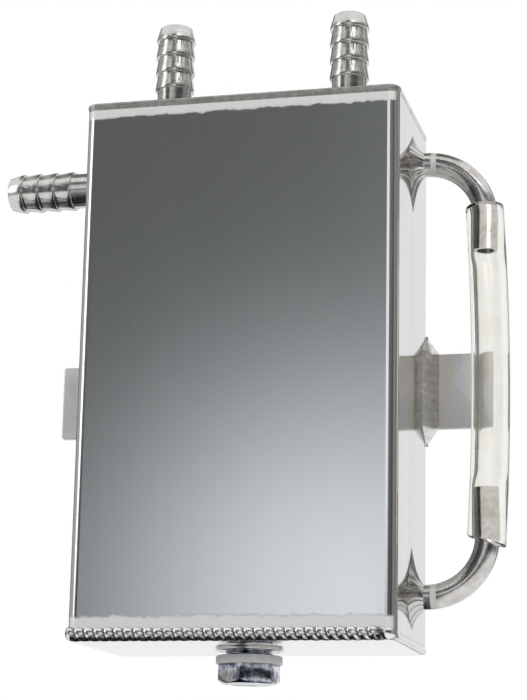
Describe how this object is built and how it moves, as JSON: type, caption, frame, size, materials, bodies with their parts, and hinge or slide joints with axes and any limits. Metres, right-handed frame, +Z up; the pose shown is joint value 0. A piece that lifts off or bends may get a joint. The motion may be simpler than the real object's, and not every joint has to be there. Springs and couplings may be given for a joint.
{
  "type": "catch tank",
  "caption": "Welded aluminium catch tank with hose barbs on top and side, a clear sight tube, rear mounting tabs and a screw-in drain plug.",
  "frame": {"origin": "midway between the two mounting tabs, in the plane of their back faces, which is the plane of the panel that holds the tank", "axes": "+X to the right as seen from the front, towards the sight tube; +Y backwards into the panel; +Z up, the top hose barbs' way"},
  "size_m": [0.1966, 0.0668, 0.2565],
  "materials": {
    "brushed_sheet": "vertically brushed",
    "plate_sheet": "mill finish",
    "tab_sheet": "mill finish, scuffed",
    "weld_metal": "rippled weld",
    "turned_aluminium": "bright turned",
    "tube_aluminium": "satin drawn tube",
    "clear_hose": "clear",
    "zinc_steel": "zinc plated",
    "grey_washer": "smooth"
  },
  "bodies": {
    "tank": {"tank_shell": "brushed_sheet", "top_plate": "plate_sheet", "bottom_plate": "plate_sheet", "top_weld": "weld_metal", "bottom_weld": "weld_metal", "baffle_plate": "plate_sheet", "baffle_tacks": "weld_metal", "left_top_barb": "turned_aluminium", "right_top_barb": "turned_aluminium", "side_barb": "turned_aluminium", "left_top_barb_weld": "weld_metal", "right_top_barb_weld": "weld_metal", "side_barb_weld": "weld_metal", "upper_elbow": "tube_aluminium", "lower_elbow": "tube_aluminium", "upper_elbow_weld": "weld_metal", "lower_elbow_weld": "weld_metal", "sight_hose": "clear_hose", "left_tab": "tab_sheet", "right_tab": "tab_sheet", "left_tab_weld": "weld_metal", "right_tab_weld": "weld_metal", "drain_boss": "turned_aluminium", "drain_boss_weld": "weld_metal"},
    "washer": {"drain_washer": "grey_washer"},
    "plug": {"drain_plug": "zinc_steel"}
  },
  "joints": [
    {"name": "drain_plug_travel", "type": "slide", "parent": "tank", "child": "washer", "axis": [0, 0, -1], "range_m": [-0.00187, 0.00675]},
    {"name": "drain_plug_turn", "type": "hinge", "parent": "washer", "child": "plug", "pos_m": [0, -0.0335, -0.11], "axis": [0, 0, -1], "range_deg": [-451, 1621]}
  ],
  "couplings": [
    {"joint": "drain_plug_turn", "follows": "drain_plug_travel", "rad_per_m": 4188.8}
  ]
}
